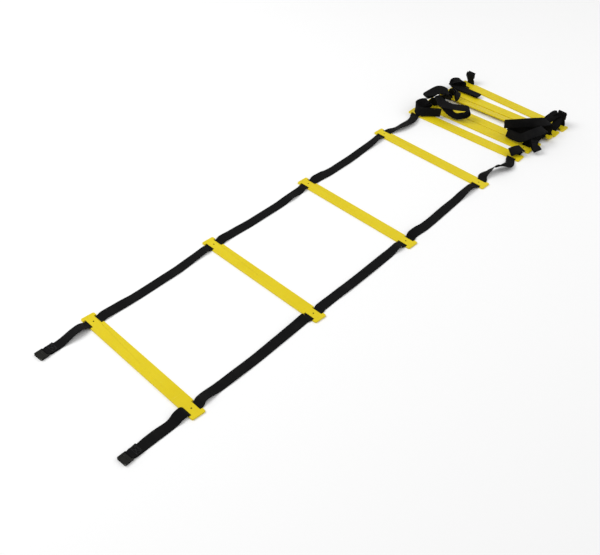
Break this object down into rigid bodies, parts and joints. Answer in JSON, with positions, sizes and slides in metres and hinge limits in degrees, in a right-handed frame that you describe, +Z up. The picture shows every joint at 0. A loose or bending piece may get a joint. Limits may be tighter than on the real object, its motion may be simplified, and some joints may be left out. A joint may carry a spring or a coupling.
{
  "type": "agility ladder",
  "caption": "Flat-rung speed and agility ladder: moulded plastic rungs threaded on two webbing side straps with end buckles, part laid out and part gathered.",
  "frame": {"origin": "centre of the footprint on the floor, under the middle of the whole ladder as it lies", "axes": "+X along the ladder towards the gathered end, +Y to the left, +Z up from the floor"},
  "size_m": [1.9373, 0.4469, 0.0718],
  "materials": {
    "rung_plastic": "semi-gloss moulded yellow plastic",
    "black_webbing": "ribbed woven black webbing",
    "buckle_plastic": "satin black moulded plastic"
  },
  "bodies": {
    "gathered_end": {"rung_05": "rung_plastic", "strap_at_rung_05_left": "black_webbing", "strap_at_rung_05_right": "black_webbing"},
    "rung_01_straps": {"strap_at_rung_01_left": "black_webbing", "strap_at_rung_01_right": "black_webbing"},
    "rung_01_plate": {"rung_01": "rung_plastic"},
    "rung_02_straps": {"strap_at_rung_02_left": "black_webbing", "strap_at_rung_02_right": "black_webbing"},
    "rung_02_plate": {"rung_02": "rung_plastic"},
    "rung_03_straps": {"strap_at_rung_03_left": "black_webbing", "strap_at_rung_03_right": "black_webbing"},
    "rung_03_plate": {"rung_03": "rung_plastic"},
    "rung_04_straps": {"strap_at_rung_04_left": "black_webbing", "strap_at_rung_04_right": "black_webbing"},
    "rung_04_plate": {"rung_04": "rung_plastic"},
    "bay_2_3_far_half": {"strap_bay_2_3_far_left": "black_webbing", "strap_bay_2_3_far_right": "black_webbing"},
    "bay_2_3_near_half": {"strap_bay_2_3_near_left": "black_webbing", "strap_bay_2_3_near_right": "black_webbing"},
    "bay_1_2_far_half": {"strap_bay_1_2_far_left": "black_webbing", "strap_bay_1_2_far_right": "black_webbing"},
    "bay_1_2_near_half": {"strap_bay_1_2_near_left": "black_webbing", "strap_bay_1_2_near_right": "black_webbing"},
    "bay_3_4_far_half": {"strap_bay_3_4_far_left": "black_webbing", "strap_bay_3_4_far_right": "black_webbing"},
    "bay_3_4_near_half": {"strap_bay_3_4_near_left": "black_webbing", "strap_bay_3_4_near_right": "black_webbing"},
    "bay_4_5_far_half": {"strap_bay_4_5_far_left": "black_webbing", "strap_bay_4_5_far_right": "black_webbing"},
    "bay_4_5_near_half": {"strap_bay_4_5_near_left": "black_webbing", "strap_bay_4_5_near_right": "black_webbing"},
    "near_tail_left": {"near_tail_strap_left": "black_webbing"},
    "socket_left": {"buckle_socket_left": "buckle_plastic"},
    "near_tail_right": {"near_tail_strap_right": "black_webbing"},
    "socket_right": {"buckle_socket_right": "buckle_plastic"},
    "rung_06_gathered": {"rung_06": "rung_plastic", "strap_loop_5_6_left": "black_webbing", "strap_loop_5_6_right": "black_webbing"},
    "rung_07_gathered": {"rung_07": "rung_plastic", "strap_loop_6_7_left": "black_webbing", "strap_loop_6_7_right": "black_webbing"},
    "rung_08_gathered": {"rung_08": "rung_plastic", "strap_loop_7_8_left": "black_webbing", "strap_loop_7_8_right": "black_webbing"},
    "rung_09_gathered": {"rung_09": "rung_plastic", "strap_loop_8_9_left": "black_webbing", "strap_loop_8_9_right": "black_webbing"},
    "rung_10_gathered": {"rung_10": "rung_plastic", "strap_loop_9_10_left": "black_webbing", "strap_loop_9_10_right": "black_webbing", "far_tail_strap_left": "black_webbing", "far_tail_strap_right": "black_webbing"},
    "plug_left": {"buckle_plug_left": "buckle_plastic"},
    "plug_right": {"buckle_plug_right": "buckle_plastic"}
  },
  "joints": [
    {"name": "fold_bay_2_3_far", "type": "hinge", "parent": "rung_03_straps", "child": "bay_2_3_far_half", "pos_m": [0.02755, -0.0069, 0.008], "axis": [0, 1, 0], "range_deg": [0, 80]},
    {"name": "gather_bay_2_3", "type": "hinge", "parent": "bay_2_3_far_half", "child": "bay_2_3_near_half", "pos_m": [-0.13562, -0.0069, -0.003], "axis": [0, -1, 0], "range_deg": [0, 160]},
    {"name": "fold_bay_2_3_near", "type": "hinge", "parent": "bay_2_3_near_half", "child": "rung_02_straps", "pos_m": [-0.29879, -0.0069, 0.008], "axis": [0, 1, 0], "range_deg": [0, 80]},
    {"name": "fold_bay_1_2_far", "type": "hinge", "parent": "rung_02_straps", "child": "bay_1_2_far_half", "pos_m": [-0.3754, -0.0069, 0.008], "axis": [0, 1, 0], "range_deg": [0, 80]},
    {"name": "gather_bay_1_2", "type": "hinge", "parent": "bay_1_2_far_half", "child": "bay_1_2_near_half", "pos_m": [-0.54372, -0.0069, -0.003], "axis": [0, -1, 0], "range_deg": [0, 160]},
    {"name": "fold_bay_1_2_near", "type": "hinge", "parent": "bay_1_2_near_half", "child": "rung_01_straps", "pos_m": [-0.71203, -0.0069, 0.008], "axis": [0, 1, 0], "range_deg": [0, 80]},
    {"name": "fold_bay_3_4_near", "type": "hinge", "parent": "rung_03_straps", "child": "bay_3_4_near_half", "pos_m": [0.09985, -0.0069, 0.008], "axis": [0, -1, 0], "range_deg": [0, 80]},
    {"name": "gather_bay_3_4", "type": "hinge", "parent": "bay_3_4_near_half", "child": "bay_3_4_far_half", "pos_m": [0.25962, -0.0069, -0.003], "axis": [0, 1, 0], "range_deg": [0, 160]},
    {"name": "fold_bay_3_4_far", "type": "hinge", "parent": "bay_3_4_far_half", "child": "rung_04_straps", "pos_m": [0.4194, -0.0069, 0.008], "axis": [0, -1, 0], "range_deg": [0, 80]},
    {"name": "fold_bay_4_5_near", "type": "hinge", "parent": "rung_04_straps", "child": "bay_4_5_near_half", "pos_m": [0.4888, -0.0069, 0.008], "axis": [0, -1, 0], "range_deg": [0, 80]},
    {"name": "gather_bay_4_5", "type": "hinge", "parent": "bay_4_5_near_half", "child": "bay_4_5_far_half", "pos_m": [0.55797, -0.0069, -0.003], "axis": [0, 1, 0], "range_deg": [0, 160]},
    {"name": "fold_bay_4_5_far", "type": "hinge", "parent": "bay_4_5_far_half", "child": "gathered_end", "pos_m": [0.62714, -0.0069, 0.008], "axis": [0, -1, 0], "range_deg": [0, 80]},
    {"name": "rung_01_slide", "type": "slide", "parent": "rung_01_straps", "child": "rung_01_plate", "axis": [1, 0, 0], "range_m": [0, 0.002]},
    {"name": "rung_02_slide", "type": "slide", "parent": "rung_02_straps", "child": "rung_02_plate", "axis": [1, 0, 0], "range_m": [-0.007, 0.006]},
    {"name": "rung_03_slide", "type": "slide", "parent": "rung_03_straps", "child": "rung_03_plate", "axis": [1, 0, 0], "range_m": [-0.005, 0.006]},
    {"name": "rung_04_slide", "type": "slide", "parent": "rung_04_straps", "child": "rung_04_plate", "axis": [1, 0, 0], "range_m": [-0.007, 0]},
    {"name": "near_tail_fold_left", "type": "hinge", "parent": "rung_01_straps", "child": "near_tail_left", "pos_m": [-0.7651, 0.17563, 0.008], "axis": [0, 1, 0], "range_deg": [0, 90]},
    {"name": "socket_swivel_left", "type": "hinge", "parent": "near_tail_left", "child": "socket_left", "pos_m": [-0.8824, 0.1741, 0.0033], "axis": [0, 1, 0], "range_deg": [0, 65]},
    {"name": "near_tail_fold_right", "type": "hinge", "parent": "rung_01_straps", "child": "near_tail_right", "pos_m": [-0.7913, -0.18943, 0.0115], "axis": [0, 1, 0], "range_deg": [0, 90]},
    {"name": "socket_swivel_right", "type": "hinge", "parent": "near_tail_right", "child": "socket_right", "pos_m": [-0.9447, -0.1889, 0.0033], "axis": [0, 1, 0], "range_deg": [0, 65]},
    {"name": "rung_06_spread", "type": "slide", "parent": "gathered_end", "child": "rung_06_gathered", "axis": [1, 0, 0], "range_m": [0, 0.08], "deforming": ["strap_loop_5_6_left", "strap_loop_5_6_right"]},
    {"name": "rung_07_spread", "type": "slide", "parent": "rung_06_gathered", "child": "rung_07_gathered", "axis": [1, 0, 0], "range_m": [0, 0.08], "deforming": ["strap_loop_6_7_left", "strap_loop_6_7_right"]},
    {"name": "rung_08_spread", "type": "slide", "parent": "rung_07_gathered", "child": "rung_08_gathered", "axis": [1, 0, 0], "range_m": [0, 0.08], "deforming": ["strap_loop_7_8_left", "strap_loop_7_8_right"]},
    {"name": "rung_09_spread", "type": "slide", "parent": "rung_08_gathered", "child": "rung_09_gathered", "axis": [1, 0, 0], "range_m": [0, 0.08], "deforming": ["strap_loop_8_9_left", "strap_loop_8_9_right"]},
    {"name": "rung_10_spread", "type": "slide", "parent": "rung_09_gathered", "child": "rung_10_gathered", "axis": [1, 0, 0], "range_m": [0, 0.08], "deforming": ["strap_loop_9_10_left", "strap_loop_9_10_right"]},
    {"name": "plug_swivel_left", "type": "hinge", "parent": "rung_10_gathered", "child": "plug_left", "pos_m": [0.96515, 0.18828, 0.0316], "axis": [0.03, 0.9996, 0], "range_deg": [-90, 0]},
    {"name": "plug_swivel_right", "type": "hinge", "parent": "rung_10_gathered", "child": "plug_right", "pos_m": [0.9541, -0.18005, 0.0316], "axis": [0.03, 0.9996, 0], "range_deg": [-90, 0]}
  ],
  "couplings": [
    {"joint": "fold_bay_2_3_far", "follows": "gather_bay_2_3", "ratio": 0.5},
    {"joint": "fold_bay_2_3_near", "follows": "gather_bay_2_3", "ratio": 0.5},
    {"joint": "fold_bay_1_2_far", "follows": "gather_bay_1_2", "ratio": 0.5},
    {"joint": "fold_bay_1_2_near", "follows": "gather_bay_1_2", "ratio": 0.5},
    {"joint": "fold_bay_3_4_near", "follows": "gather_bay_3_4", "ratio": 0.5},
    {"joint": "fold_bay_3_4_far", "follows": "gather_bay_3_4", "ratio": 0.5},
    {"joint": "fold_bay_4_5_near", "follows": "gather_bay_4_5", "ratio": 0.5},
    {"joint": "fold_bay_4_5_far", "follows": "gather_bay_4_5", "ratio": 0.5}
  ]
}
